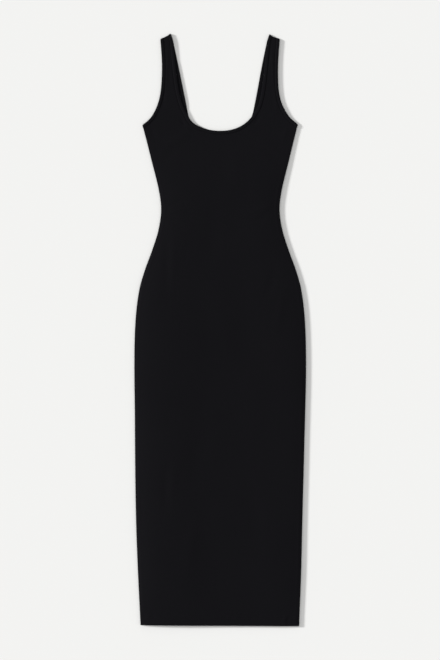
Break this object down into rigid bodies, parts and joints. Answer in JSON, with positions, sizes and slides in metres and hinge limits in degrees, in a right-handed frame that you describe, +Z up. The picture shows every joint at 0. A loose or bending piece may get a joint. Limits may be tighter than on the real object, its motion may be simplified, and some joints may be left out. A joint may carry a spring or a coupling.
{
  "type": "bodycon dress",
  "caption": "Sleeveless black stretch-jersey bodycon dress with wide straps and scooped front and back necks, laid flat with the front up.",
  "frame": {"origin": "on the surface that the dress lies on, under the middle of its length and width", "axes": "+X across the dress to the right as seen from above, +Y from the hem to the shoulders, +Z up from the surface through the back and the front"},
  "size_m": [0.384, 1.3203, 0.0056],
  "materials": {
    "jersey": "matte",
    "band_jersey": "matte"
  },
  "bodies": {
    "root": {"front_panel": "jersey", "back_panel": "jersey", "front_neck_band": "band_jersey", "back_neck_band": "band_jersey", "front_armhole_band_left": "band_jersey", "front_armhole_band_right": "band_jersey", "back_armhole_band_left": "band_jersey", "back_armhole_band_right": "band_jersey"}
  },
  "joints": []
}
